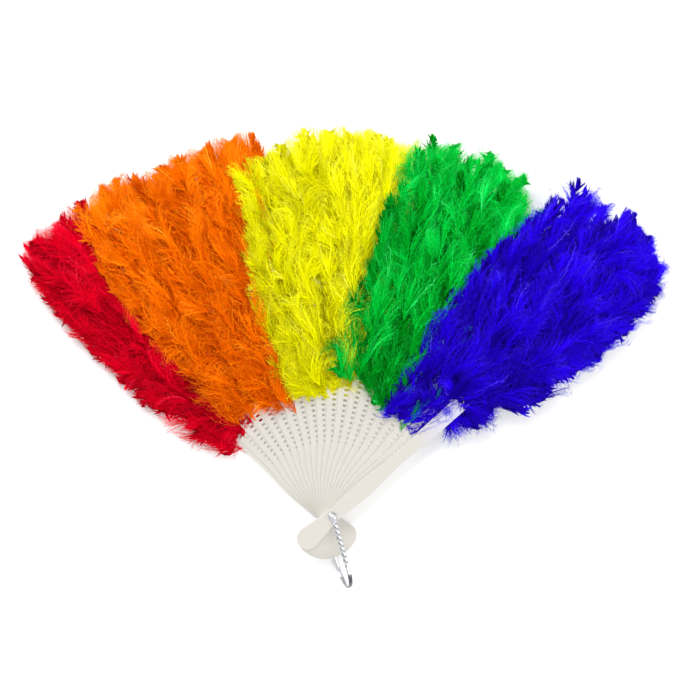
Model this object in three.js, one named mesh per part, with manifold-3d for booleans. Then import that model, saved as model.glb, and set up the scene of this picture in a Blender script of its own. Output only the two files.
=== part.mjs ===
// Folding feather fan, lying open on its back: plastic sticks on one pivot pin, a down plume on each stick,
// a ribbon laced through the sticks and a strap bail on the pin. Millimetres, +Z up.
// The pin's axis is Z, the open fan spreads about +Y, and the flat foot of the pin's cap is at z = 0.
import * as THREE from "three";
import { mergeVertices } from "three/addons/utils/BufferGeometryUtils.js";
import Module from "manifold-3d";

const wasm = await Module();
wasm.setup();

// Spread of the sticks, in degrees
const halfOpening = 49.2; // each guard from +Y when the fan is open
const firstRibFromRearGuard = 2.2;
const lastRibFromFrontGuard = 4;
const ribCount = 18;

// Stack along the pin, in the order in which it is threaded
const seatGap = 0.3; // between pieces that touch on the real fan
const stickGap = 0.4; // between neighbouring sticks, with the ribbon in it
const capHeight = 1.6;
const capFloor = 0.6;
const strapThickness = 1.2;
const guardThickness = 1.6;
const ribThickness = 0.9;

// Sticks, measured from the pin's axis
const tailLength = 32;
const tailRadius = 8.2;
const neckHalfWidth = 4.5;
const shoulderAt = 31;
const shoulderHalfWidth = 6.3;
const waistAt = 62;
const waistHalfWidth = 4.6;
const fullWidthAt = 100;
const ribHalfWidth = 6.3;
const guardHalfWidth = 5.6;
const taperFrom = 126;
const stickReach = 188;
const stickTipHalfWidth = 2.6;
const sideSteps = 16; // along the curved part of a stick's side

// Lattice of slots in each rib, which widen row by row
const latticeFromRibbon = 14.6; // middle of the outermost slot to the middle of the ribbon
const latticePitch = 3.8;
const latticeRows = 14;
const latticeSlotHeight = 1.7;
const firstSlotWidth = 1.5;
const lastSlotWidth = 3.8;

// Ribbon laced through one slot in each rib
const ribbonFromTip = 70;
const ribbonWidth = 6;
const ribbonThickness = 0.16;
const ribbonClimb = 2.2; // run along the arc in which it rises through a rib
const ribbonSlotRoom = 0.5; // all round the ribbon in its slot

// Pivot pin and its cap
const pinRadius = 1.5;
const boreRoom = 0.35; // between the pin and what turns on it
const pinHeadRadius = 2.9;
const pinHeadRise = 2.5;
const pinHeadRim = 0.7;
const capRadius = 3.6;
const capEdge = 0.4;

// Bail: a strap bent into a U round the stack
const bailReach = 56;
const strapHalfWidth = 2.2;
const eyeRadius = 3.3;
const bailFromStraightDown = 19.3; // degrees, as it lies at rest

// Plumes, measured from the pin's axis along each stick
const plumeRoot = 84;
const frontPlumeRoot = 104; // the front guard is bare further out than the other sticks
const plumeReach = 285;
const plumeHalfWidth = 28;
const plumeLean = 4.5; // degrees to the left of its stick, from its root on
const rearPlumeLean = 1; // of the lowest plume, which ends the fan at the left
const plumeTilt = 8; // degrees, left edge up, so that each plume lies on its left neighbour like a shingle
const tuftDepth = 3.6; // how far a tuft of barbs stands out of the plume's edge
const tuftsPerSide = 6;
const plumeTipHalfWidth = 1.5;
const frontPlumeDepth = 8.5; // of the uppermost plume, which is free to stand up
const frontPlumeEdgeDepth = 2;
const rearPlumeEdgeDepth = 0.8; // of the lowest plume at its right edge, under its neighbour
const plumeRootShare = 0.42; // width at the root as a share of the full width
const plumeBellyShare = 0.62; // where along the plume it is widest
const tipSwayShare = 0.12; // how far a plume's tip leans to one side, as a share of its half width

// Places across a plume, from its left edge at -1 to its right edge at 1
const acrossShares = [-1, -0.6, -0.2, 0.2, 0.6, 1];

// Along the fan, from the rear guard to the front guard
const reachShares = [1, 1.03, 1.04, 1.01, 1, 0.98, 0.97, 0.99, 0.99, 1, 0.97, 1.03, 1.1];
const widthShares = [0.95, 1.02, 1, 1, 1, 1.02, 1.05, 1.25];

const overrun = 1; // how far a cutting tool runs past what it cuts
const roundSegments = 24;
const degree = Math.PI / 180;

// Heights on the pin
const stickPitch = ribThickness + stickGap;
const rearStrapZ = capHeight + seatGap;
const rearGuardZ = rearStrapZ + strapThickness + seatGap;
const firstRibZ = rearGuardZ + guardThickness + stickGap;
const frontGuardZ = firstRibZ + ribCount * stickPitch;
const frontStrapZ = frontGuardZ + guardThickness + seatGap;
const pinHeadZ = frontStrapZ + strapThickness + seatGap;
const boreRadius = pinRadius + boreRoom;
const ribbonAt = stickReach - ribbonFromTip;
const latticeFrom = ribbonAt - latticeFromRibbon - (latticeRows - 1) * latticePitch;

const material = (color, roughness, metalness = 0) =>
  new THREE.MeshStandardMaterial({ color, roughness, metalness });
const stickPlastic = material(0xe6e3dc, 0.35);
const chrome = material(0xc9ccd0, 0.15, 1);
const satin = material(0xf2efe9, 0.5);
const plumeColours = [
  { untilShare: 0.13, material: material(0xd0061f, 0.9) },
  { untilShare: 0.39, material: material(0xf06a02, 0.9) },
  { untilShare: 0.66, material: material(0xf4e404, 0.9) },
  { untilShare: 0.87, material: material(0x05a83c, 0.9) },
  { untilShare: 1, material: material(0x2408c8, 0.9) },
];

const fan = new THREE.Group();

function addMesh(parent, name, geometry, meshMaterial) {
  const mesh = new THREE.Mesh(geometry, meshMaterial);
  mesh.name = name;
  parent.add(mesh);
  return mesh;
}

// A closed geometry as a solid for booleans
function solidOf(geometry) {
  const bare = geometry.index ? geometry.toNonIndexed() : geometry.clone();
  bare.deleteAttribute("normal");
  bare.deleteAttribute("uv");
  const merged = mergeVertices(bare);
  return new wasm.Manifold(
    new wasm.Mesh({
      numProp: 3,
      vertProperties: new Float32Array(merged.attributes.position.array),
      triVerts: new Uint32Array(merged.index.array),
    }),
  );
}

function geometryOf(solid) {
  const mesh = solid.getMesh();
  const geometry = new THREE.BufferGeometry();
  geometry.setAttribute("position", new THREE.BufferAttribute(mesh.vertProperties, mesh.numProp));
  geometry.setIndex(new THREE.BufferAttribute(mesh.triVerts, 1));
  return geometry;
}

const extrude = (shape, depth) => new THREE.ExtrudeGeometry(shape, { depth, bevelEnabled: false });

function circleHole(radius) {
  const points = [];
  for (let i = 0; i < roundSegments; i += 1) {
    const turn = (i / roundSegments) * 2 * Math.PI;
    points.push(new THREE.Vector2(radius * Math.cos(turn), radius * Math.sin(turn)));
  }
  return new THREE.Path(points);
}

function slotHole(y, halfWidth, halfHeight) {
  return new THREE.Path([
    new THREE.Vector2(-halfWidth, y - halfHeight),
    new THREE.Vector2(halfWidth, y - halfHeight),
    new THREE.Vector2(halfWidth, y + halfHeight),
    new THREE.Vector2(-halfWidth, y + halfHeight),
  ]);
}

// Half of a stick's outline, from the pin outwards: neck, shoulder, waist, full width and tip
function stickSide(halfWidth) {
  const curve = new THREE.SplineCurve([
    new THREE.Vector2(neckHalfWidth, 0),
    new THREE.Vector2(shoulderHalfWidth, shoulderAt),
    new THREE.Vector2(waistHalfWidth, waistAt),
    new THREE.Vector2(halfWidth, fullWidthAt),
  ]);
  return [
    ...curve.getPoints(sideSteps),
    new THREE.Vector2(halfWidth, taperFrom),
    new THREE.Vector2(stickTipHalfWidth, stickReach),
  ];
}

// A stick's outline: a round paddle tail, joined to the neck by its tangents, and the blade
function stickShape(halfWidth) {
  const tailCentre = tailLength - tailRadius;
  const neckDistance = Math.hypot(neckHalfWidth, tailCentre);
  const tangentTurn = Math.atan2(tailCentre, neckHalfWidth) - Math.acos(tailRadius / neckDistance);
  const side = stickSide(halfWidth);
  const tail = [];
  const tailSteps = roundSegments / 2;
  for (let i = 0; i <= tailSteps; i += 1) {
    const turn = Math.PI - tangentTurn + (i / tailSteps) * (Math.PI + 2 * tangentTurn);
    tail.push(new THREE.Vector2(tailRadius * Math.cos(turn), -tailCentre + tailRadius * Math.sin(turn)));
  }
  const left = [...side].reverse().map((p) => new THREE.Vector2(-p.x, p.y));
  return new THREE.Shape([...side, ...left, ...tail]);
}

function guardGeometry() {
  const shape = stickShape(guardHalfWidth);
  shape.holes.push(circleHole(boreRadius));
  return extrude(shape, guardThickness);
}

function ribGeometry() {
  const shape = stickShape(ribHalfWidth);
  shape.holes.push(circleHole(boreRadius));
  for (let row = 0; row < latticeRows; row += 1) {
    const width = firstSlotWidth + (row / (latticeRows - 1)) * (lastSlotWidth - firstSlotWidth);
    shape.holes.push(slotHole(latticeFrom + row * latticePitch, width / 2, latticeSlotHeight / 2));
  }
  shape.holes.push(slotHole(ribbonAt, ribbonClimb / 2 + ribbonSlotRoom, ribbonWidth / 2 + ribbonSlotRoom));
  return extrude(shape, ribThickness);
}

// Half the plume's width at a share of its length: broad at the root, widest at the belly, round at the tip
function plumeWidthShare(along) {
  if (along < plumeBellyShare) {
    const rise = Math.sin((along / plumeBellyShare) * (Math.PI / 2));
    return plumeRootShare + (1 - plumeRootShare) * rise;
  }
  const past = (along - plumeBellyShare) / (1 - plumeBellyShare);
  return Math.sqrt(Math.max(0, 1 - past ** 2));
}

// The value of a table of shares at a place along the fan, from 0 at the rear guard to 1 at the front guard
function shareAt(shares, along) {
  const place = along * (shares.length - 1);
  const before = Math.min(Math.floor(place), shares.length - 2);
  return shares[before] + (shares[before + 1] - shares[before]) * (place - before);
}

// Half a stick's width at a distance from the pin, from where its plume starts
function ribHalfWidthAt(distance) {
  const taper = Math.min(1, Math.max(0, (distance - taperFrom) / (stickReach - taperFrom)));
  return ribHalfWidth + (stickTipHalfWidth - ribHalfWidth) * taper;
}

// A closed slab over a grid of points with a low and a high side, rows outwards and columns to the right
function slabGeometry(rows, isFilled) {
  const columns = rows[0].length;
  const positions = rows.flat().flatMap(({ x, y, low, high }) => [x, y, low, x, y, high]);
  const low = (row, column) => 2 * (row * columns + column);
  const high = (row, column) => low(row, column) + 1;
  const triangles = [];
  const quad = (a, b, c, d) => triangles.push(a, b, c, a, c, d);
  const has = (row, column) =>
    row >= 0 && row < rows.length - 1 && column >= 0 && column < columns - 1 && isFilled(row, column);
  for (let i = 0; i < rows.length - 1; i += 1) {
    for (let j = 0; j < columns - 1; j += 1) {
      if (!has(i, j)) continue;
      quad(high(i, j), high(i, j + 1), high(i + 1, j + 1), high(i + 1, j));
      quad(low(i, j), low(i + 1, j), low(i + 1, j + 1), low(i, j + 1));
      if (!has(i - 1, j)) quad(low(i, j), low(i, j + 1), high(i, j + 1), high(i, j));
      if (!has(i + 1, j)) quad(low(i + 1, j + 1), low(i + 1, j), high(i + 1, j), high(i + 1, j + 1));
      if (!has(i, j - 1)) quad(low(i + 1, j), low(i, j), high(i, j), high(i + 1, j));
      if (!has(i, j + 1)) quad(low(i, j + 1), low(i + 1, j + 1), high(i + 1, j + 1), high(i, j + 1));
    }
  }
  const geometry = new THREE.BufferGeometry();
  geometry.setAttribute("position", new THREE.Float32BufferAttribute(positions, 3));
  geometry.setIndex(triangles);
  return geometry;
}

// The plume on the stick with that number: tufts down both sides, and a notch where a rib lies in it.
// The function sides gives its low and high side at a place to the right of its stick and a share across it.
function plumeGeometry({ number, root, lean, notched, sides }) {
  const along = number / (ribCount + 1);
  const length = plumeReach * shareAt(reachShares, along) - root;
  const width = plumeHalfWidth * shareAt(widthShares, along);
  const sway = width * tipSwayShare * (number % 2 ? 1 : -1);
  const step = length / (2 * tuftsPerSide);
  const notchEnd = stickReach + seatGap;
  const rows = [];
  for (let i = 0; i <= 2 * tuftsPerSide; i += 1) {
    const up = i / (2 * tuftsPerSide);
    const tuft = i % 2 ? tuftDepth : 0;
    const half = up < 1 ? width * plumeWidthShare(up) + tuft : plumeTipHalfWidth;
    const even = root + length * up;
    const y = notched && Math.abs(even - notchEnd) < step / 2 ? notchEnd : even;
    const stickX = (y - root) * Math.tan(lean * degree);
    const places = acrossShares.map((share) => sway * up ** 2 + half * share);
    if (notched && y <= notchEnd) {
      const notchHalf = ribHalfWidthAt(y - step) + seatGap;
      places[2] = stickX - notchHalf;
      places[3] = stickX + notchHalf;
      places[1] = (places[0] + places[2]) / 2;
      places[4] = (places[3] + places[5]) / 2;
    }
    const heights = (x, share) => sides((x - stickX) * Math.cos(lean * degree), share);
    rows.push(places.map((x, j) => ({ x, y, ...heights(x, acrossShares[j]) })));
  }
  const isFilled = (row, column) => !notched || column !== 2 || rows[row][0].y >= notchEnd;
  return slabGeometry(rows, isFilled)
    .translate(0, -root, 0)
    .rotateZ(lean * degree)
    .translate(0, root, 0);
}

// Low and high sides of the plumes: all lie parallel, so that they stack when the fan is closed
const tiltRise = (aside) => -aside * Math.tan(plumeTilt * degree);
const guardRoom = guardHalfWidth + seatGap;

function ribPlumeSides(aside) {
  return { low: tiltRise(aside), high: tiltRise(aside) + ribThickness };
}

// Flat on the surface that the fan lies on, under the rear guard and under the plume of the first rib
function rearPlumeSides(aside) {
  const top = rearGuardZ - seatGap;
  const beside = Math.max(0, Math.abs(aside) - guardRoom);
  const fall = (top - rearPlumeEdgeDepth) / (plumeHalfWidth + tuftDepth - guardRoom);
  return { low: 0, high: aside < 0 ? top - tiltRise(beside) : top - beside * fall };
}

// On the front guard, crowned
function frontPlumeSides(aside, across) {
  const low = tiltRise(aside) - tiltRise(guardRoom);
  const crown = (frontPlumeDepth - frontPlumeEdgeDepth) * (1 - across ** 2);
  return { low, high: low + frontPlumeEdgeDepth + crown };
}

// Sticks with their plumes, from the rear guard, number 0, up to the front guard
const ribSpan = 2 * halfOpening - firstRibFromRearGuard - lastRibFromFrontGuard;
const ribAngle = (rib) => halfOpening - firstRibFromRearGuard - ((rib - 1) / (ribCount - 1)) * ribSpan;
const ribZ = (rib) => firstRibZ + (rib - 1) * stickPitch;

function addStick({ name, number, angle, z, stick, plumeZ, plume }) {
  const along = number / (ribCount + 1);
  const colour = plumeColours.find(({ untilShare }) => along <= untilShare);
  const group = new THREE.Group();
  group.rotation.z = angle * degree;
  addMesh(group, name, stick, stickPlastic).position.z = z;
  addMesh(group, `plume_${name}`, plume, colour.material).position.z = plumeZ;
  fan.add(group);
}

addStick({
  name: "rear_guard",
  number: 0,
  angle: halfOpening,
  z: rearGuardZ,
  stick: guardGeometry(),
  plumeZ: 0,
  plume: plumeGeometry({
    number: 0,
    root: plumeRoot,
    lean: rearPlumeLean,
    notched: false,
    sides: rearPlumeSides,
  }),
});
for (let rib = 1; rib <= ribCount; rib += 1) {
  addStick({
    name: `rib_${String(rib).padStart(2, "0")}`,
    number: rib,
    angle: ribAngle(rib),
    z: ribZ(rib),
    stick: ribGeometry(),
    plumeZ: ribZ(rib),
    plume: plumeGeometry({
      number: rib,
      root: plumeRoot,
      lean: plumeLean,
      notched: true,
      sides: ribPlumeSides,
    }),
  });
}
addStick({
  name: "front_guard",
  number: ribCount + 1,
  angle: -halfOpening,
  z: frontGuardZ,
  stick: guardGeometry(),
  plumeZ: frontGuardZ + guardThickness + seatGap,
  plume: plumeGeometry({
    number: ribCount + 1,
    root: frontPlumeRoot,
    lean: 0,
    notched: false,
    sides: frontPlumeSides,
  }),
});

// The ribbon lies in the gap above one stick and climbs through the slot of the next to the gap above that
function ribbonGeometry() {
  const restZ = (z) => z - (stickGap + ribbonThickness) / 2;
  const halfClimb = ribbonClimb / 2 / ribbonAt / degree;
  const stations = [{ angle: halfOpening, z: restZ(firstRibZ) }];
  for (let rib = 1; rib <= ribCount; rib += 1) {
    stations.push({ angle: ribAngle(rib) + halfClimb, z: restZ(ribZ(rib)) });
    stations.push({ angle: ribAngle(rib) - halfClimb, z: restZ(ribZ(rib) + stickPitch) });
  }
  stations.push({ angle: -halfOpening, z: restZ(frontGuardZ) });
  const inner = ribbonAt - ribbonWidth / 2;
  const outer = ribbonAt + ribbonWidth / 2;
  const positions = [];
  for (const { angle, z } of stations) {
    const turn = angle * degree;
    for (const [radius, height] of [
      [inner, z],
      [outer, z],
      [outer, z + ribbonThickness],
      [inner, z + ribbonThickness],
    ]) {
      positions.push(-radius * Math.sin(turn), radius * Math.cos(turn), height);
    }
  }
  const triangles = [0, 2, 1, 0, 3, 2];
  const last = 4 * (stations.length - 1);
  for (let start = 0; start < last; start += 4) {
    for (let corner = 0; corner < 4; corner += 1) {
      const next = (corner + 1) % 4;
      triangles.push(start + corner, start + 4 + next, start + 4 + corner);
      triangles.push(start + corner, start + next, start + 4 + next);
    }
  }
  triangles.push(last, last + 1, last + 2, last, last + 2, last + 3);
  const geometry = new THREE.BufferGeometry();
  geometry.setAttribute("position", new THREE.Float32BufferAttribute(positions, 3));
  geometry.setIndex(triangles);
  return geometry;
}
addMesh(fan, "lacing_ribbon", ribbonGeometry(), satin);

// The pin: a shaft with a domed head
function pinGeometry() {
  const profile = [
    new THREE.Vector2(0, capFloor + seatGap),
    new THREE.Vector2(pinRadius, capFloor + seatGap),
    new THREE.Vector2(pinRadius, pinHeadZ),
    new THREE.Vector2(pinHeadRadius, pinHeadZ),
  ];
  const domeSteps = roundSegments / 4;
  for (let i = 0; i <= domeSteps; i += 1) {
    const turn = (i / domeSteps) * (Math.PI / 2);
    const height = pinHeadRim + (pinHeadRise - pinHeadRim) * Math.sin(turn);
    profile.push(new THREE.Vector2(i === domeSteps ? 0 : pinHeadRadius * Math.cos(turn), pinHeadZ + height));
  }
  return new THREE.LatheGeometry(profile, roundSegments).rotateX(Math.PI / 2);
}

// The cap that closes the pin's lower end: a flat foot with a blind bore
function capGeometry() {
  const profile = [
    new THREE.Vector2(0, 0),
    new THREE.Vector2(capRadius - capEdge, 0),
    new THREE.Vector2(capRadius, capEdge),
    new THREE.Vector2(capRadius, capHeight),
    new THREE.Vector2(boreRadius, capHeight),
    new THREE.Vector2(boreRadius, capFloor),
    new THREE.Vector2(0, capFloor),
  ];
  return new THREE.LatheGeometry(profile, roundSegments).rotateX(Math.PI / 2);
}
addMesh(fan, "pivot_pin", pinGeometry(), chrome);
addMesh(fan, "pin_cap", capGeometry(), chrome);

// The bail: a U seen from the side, cut to its plan of strap and eyes, with a bore for the pin
function bailGeometry() {
  const outerRadius = (frontStrapZ + strapThickness - rearStrapZ) / 2;
  const middleZ = rearStrapZ + outerRadius;
  const bendAt = bailReach - outerRadius;
  const u = new THREE.Shape();
  u.moveTo(-eyeRadius, middleZ - outerRadius);
  u.lineTo(bendAt, middleZ - outerRadius);
  u.absarc(bendAt, middleZ, outerRadius, -Math.PI / 2, Math.PI / 2, false);
  u.lineTo(-eyeRadius, middleZ + outerRadius);
  u.lineTo(-eyeRadius, middleZ + outerRadius - strapThickness);
  u.lineTo(bendAt, middleZ + outerRadius - strapThickness);
  u.absarc(bendAt, middleZ, outerRadius - strapThickness, Math.PI / 2, -Math.PI / 2, true);
  u.lineTo(-eyeRadius, middleZ - outerRadius + strapThickness);
  u.closePath();
  const side = new THREE.ExtrudeGeometry(u, {
    depth: 2 * eyeRadius,
    bevelEnabled: false,
    curveSegments: roundSegments,
  });
  // The profile's x runs along the bail and its y up; the depth is centred across the bail
  side.translate(0, 0, -eyeRadius).applyMatrix4(
    new THREE.Matrix4().makeBasis(
      new THREE.Vector3(0, 1, 0),
      new THREE.Vector3(0, 0, 1),
      new THREE.Vector3(1, 0, 0),
    ),
  );
  const shoulder = Math.asin(strapHalfWidth / eyeRadius);
  const plan = new THREE.Shape();
  plan.absarc(0, 0, eyeRadius, Math.PI / 2 + shoulder, Math.PI / 2 - shoulder, false);
  plan.lineTo(strapHalfWidth, bailReach + overrun);
  plan.lineTo(-strapHalfWidth, bailReach + overrun);
  plan.closePath();
  const height = frontStrapZ + strapThickness + 2 * overrun;
  const outline = extrude(plan, height).translate(0, 0, -overrun);
  const bore = extrude(new THREE.Shape(circleHole(boreRadius).getPoints()), height).translate(0, 0, -overrun);
  return geometryOf(solidOf(side).intersect(solidOf(outline)).subtract(solidOf(bore)));
}
const bailGroup = new THREE.Group();
bailGroup.rotation.z = Math.PI + bailFromStraightDown * degree;
addMesh(bailGroup, "bail", bailGeometry(), chrome);
fan.add(bailGroup);

export default fan;
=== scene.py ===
"""Finish of a folding feather fan that lies open on its back: milky plastic sticks, dyed down on every stick,
a chrome pin and a twisted chrome bail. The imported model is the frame, in metres, with the pin's axis on Z."""

import logging
import math
from dataclasses import dataclass, field
from enum import Enum

import bmesh
import bpy
import numpy as np
from mathutils import Matrix, Vector


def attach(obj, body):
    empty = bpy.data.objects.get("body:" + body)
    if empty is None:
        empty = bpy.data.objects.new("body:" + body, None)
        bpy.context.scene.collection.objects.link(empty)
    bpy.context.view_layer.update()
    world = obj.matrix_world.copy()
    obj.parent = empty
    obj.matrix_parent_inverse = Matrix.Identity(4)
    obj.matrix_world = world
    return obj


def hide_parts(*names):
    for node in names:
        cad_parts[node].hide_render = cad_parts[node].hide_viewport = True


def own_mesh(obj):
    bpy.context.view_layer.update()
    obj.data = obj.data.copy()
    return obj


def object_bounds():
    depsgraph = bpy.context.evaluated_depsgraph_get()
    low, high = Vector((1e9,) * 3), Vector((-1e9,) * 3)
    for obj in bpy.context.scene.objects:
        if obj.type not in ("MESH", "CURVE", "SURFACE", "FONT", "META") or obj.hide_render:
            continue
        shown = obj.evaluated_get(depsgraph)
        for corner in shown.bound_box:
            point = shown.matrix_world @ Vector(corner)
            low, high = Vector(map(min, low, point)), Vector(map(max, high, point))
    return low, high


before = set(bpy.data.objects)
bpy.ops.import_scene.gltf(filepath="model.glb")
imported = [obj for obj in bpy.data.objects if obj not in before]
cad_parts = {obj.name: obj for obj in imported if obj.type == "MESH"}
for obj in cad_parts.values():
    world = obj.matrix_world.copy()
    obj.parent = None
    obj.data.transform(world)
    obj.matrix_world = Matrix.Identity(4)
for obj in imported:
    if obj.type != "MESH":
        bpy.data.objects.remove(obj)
CAD_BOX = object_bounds()

MM = 0.001
PHOTO_SIDE = 700  # pixels of the square photograph
PIECE_MAP = "OFBake"  # the map of a piece: its tone along U and the way along a strand along V
MAP_ENDS = (0.02, 0.98)  # between which the tones stay
WELD = 0.001 * MM  # distance at which two points become one
LOG = logging.getLogger("feather_fan")
MADE: dict[str, bpy.types.Material] = {}  # the finishes that are built, by name

Colour = tuple[float, float, float]
Spread = tuple[float, float]  # a middle or least value, and what a random draw adds to it


def srgb(red: int, green: int, blue: int) -> Colour:
    """Turns a colour as a paint chart gives it, 0 to 255 a channel, into linear light.

    Args:
        red: the red channel.
        green: the green channel.
        blue: the blue channel.

    Returns:
        The linear colour, 0 to 1 a channel.
    """
    def linear(channel: int) -> float:
        """One channel in linear light."""
        share = channel / 255
        return share / 12.92 if share <= 0.04045 else ((share + 0.055) / 1.055) ** 2.4
    return linear(red), linear(green), linear(blue)


class Value:
    """An output socket. Arithmetic on it adds Math nodes to the same material."""

    def __init__(self, nodes: "Nodes", socket: bpy.types.NodeSocket) -> None:
        """Wraps a socket of a material.

        Args:
            nodes: the material's nodes.
            socket: the output to wrap.
        """
        self.nodes, self.socket = nodes, socket

    def math(self, operation: str, *others: "Value | float", swapped: bool = False) -> "Value":
        """Adds one Math node.

        Args:
            operation: the Math node's operation.
            others: its further operands.
            swapped: puts this value after the first of the others.

        Returns:
            The result.
        """
        operands = [others[0], self, *others[1:]] if swapped else [self, *others]
        node = self.nodes.add("ShaderNodeMath", {"operation": operation}, dict(enumerate(operands)))
        return Value(self.nodes, node.outputs[0])

    def __add__(self, other: "Value | float") -> "Value":
        """The sum."""
        return self.math("ADD", other)

    __radd__ = __add__

    def __rsub__(self, other: float) -> "Value":
        """What is left of the other when this value is taken away."""
        return self.math("SUBTRACT", other, swapped=True)

    def __mul__(self, other: "Value | float") -> "Value":
        """The product."""
        return self.math("MULTIPLY", other)

    def __abs__(self) -> "Value":
        """The size without its sign."""
        return self.math("ABSOLUTE")

    def ramp(self, start: float, end: float) -> "Value":
        """Rises smoothly from 0 at start to 1 at end.

        Args:
            start: where the rise begins.
            end: where it ends.

        Returns:
            The share of the rise.
        """
        node = self.nodes.add(
            "ShaderNodeMapRange",
            {"interpolation_type": "SMOOTHSTEP"},
            {"Value": self, "From Min": start, "From Max": end},
        )
        return Value(self.nodes, node.outputs["Result"])


class Nodes:
    """The node tree of one material, with its Principled shader."""

    def __init__(self, name: str) -> None:
        """Starts a material.

        Args:
            name: the material's name.
        """
        self.take(bpy.data.materials.new(name))

    def take(self, material: bpy.types.Material) -> None:
        """Takes over a material.

        Args:
            material: the material.
        """
        self.material = material
        self.material.use_nodes = True
        self.tree = self.material.node_tree
        self.shader = self.tree.nodes["Principled BSDF"]

    @classmethod
    def of(cls, material: bpy.types.Material) -> "Nodes":
        """Opens a material that is already built.

        Args:
            material: the material.

        Returns:
            Its nodes.
        """
        nodes = cls.__new__(cls)
        nodes.take(material)
        return nodes

    def add(
        self,
        kind: str,
        settings: dict[str, object] | None = None,
        sockets: dict[str | int, object] | None = None,
    ) -> bpy.types.Node:
        """Adds a node, sets it, and then fills its sockets.

        Args:
            kind: the node's type.
            settings: its properties, with a colour ramp's stops under "stops".
            sockets: values or outputs by input name or number.

        Returns:
            The node.
        """
        node = self.tree.nodes.new(kind)
        for name, setting in (settings or {}).items():
            if name == "stops":
                self.set_stops(node.color_ramp, setting)
            else:
                setattr(node, name, setting)
        self.fill(node, sockets or {})
        return node

    def fill(self, node: bpy.types.Node, sockets: dict[str | int, object]) -> None:
        """Fills a node's inputs.

        Args:
            node: the node.
            sockets: values or outputs by input name or number.
        """
        for key, value in sockets.items():
            if isinstance(value, Value):
                self.tree.links.new(value.socket, node.inputs[key])
            elif isinstance(value, bpy.types.NodeSocket):
                self.tree.links.new(value, node.inputs[key])
            else:
                node.inputs[key].default_value = value

    @staticmethod
    def set_stops(ramp: bpy.types.ColorRamp, stops: list[tuple[float, Colour]]) -> None:
        """Gives a colour ramp its stops.

        Args:
            ramp: the ramp.
            stops: place and colour of each stop.
        """
        while len(ramp.elements) < len(stops):
            ramp.elements.new(1.0)
        for element, (place, colour) in zip(ramp.elements, stops):
            element.position = place
            element.color = (*colour, 1.0)

    def value(self, node: bpy.types.Node, output: str | int = 0) -> Value:
        """Wraps an output of a node."""
        return Value(self, node.outputs[output])

    def mix(self, factor: Value | float, first: object, second: object) -> bpy.types.NodeSocket:
        """Mixes two colours.

        Args:
            factor: share of the second colour.
            first: a colour or an output.
            second: a colour or an output.

        Returns:
            The colour output.
        """
        first, second = ((*c, 1.0) if isinstance(c, tuple) else c for c in (first, second))
        return self.add("ShaderNodeMix", {"data_type": "RGBA"}, {0: factor, 6: first, 7: second}).outputs[2]

    def noise(self, place: bpy.types.NodeSocket, scale: float, detail: float = 2.0) -> Value:
        """Adds a cloudy texture.

        Args:
            place: the coordinates.
            scale: its clouds to a metre.
            detail: how many finer layers it has.

        Returns:
            The clouds, 0 to 1.
        """
        sockets = {"Vector": place, "Scale": scale, "Detail": detail}
        return self.value(self.add("ShaderNodeTexNoise", None, sockets))

    def bands(self, place: bpy.types.NodeSocket, axis: str, scale: float, distortion: float = 0.0) -> Value:
        """Adds a texture of soft bands.

        Args:
            place: the coordinates.
            axis: the one that the bands follow each other along.
            scale: how close they lie.
            distortion: how much they wander.

        Returns:
            The bands, 0 to 1.
        """
        sockets = {"Vector": place, "Scale": scale, "Distortion": distortion}
        return self.value(self.add("ShaderNodeTexWave", {"bands_direction": axis}, sockets), "Fac")

    def bump(self, height: Value, distance: float, strength: float = 1.0) -> None:
        """Feeds a height to the shader's normal.

        Args:
            height: the relief, 0 to 1.
            distance: the relief's real depth, in metres.
            strength: share of it that shows.
        """
        sockets = {"Strength": strength, "Distance": distance, "Height": height}
        self.fill(self.shader, {"Normal": self.add("ShaderNodeBump", None, sockets).outputs["Normal"]})


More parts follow.
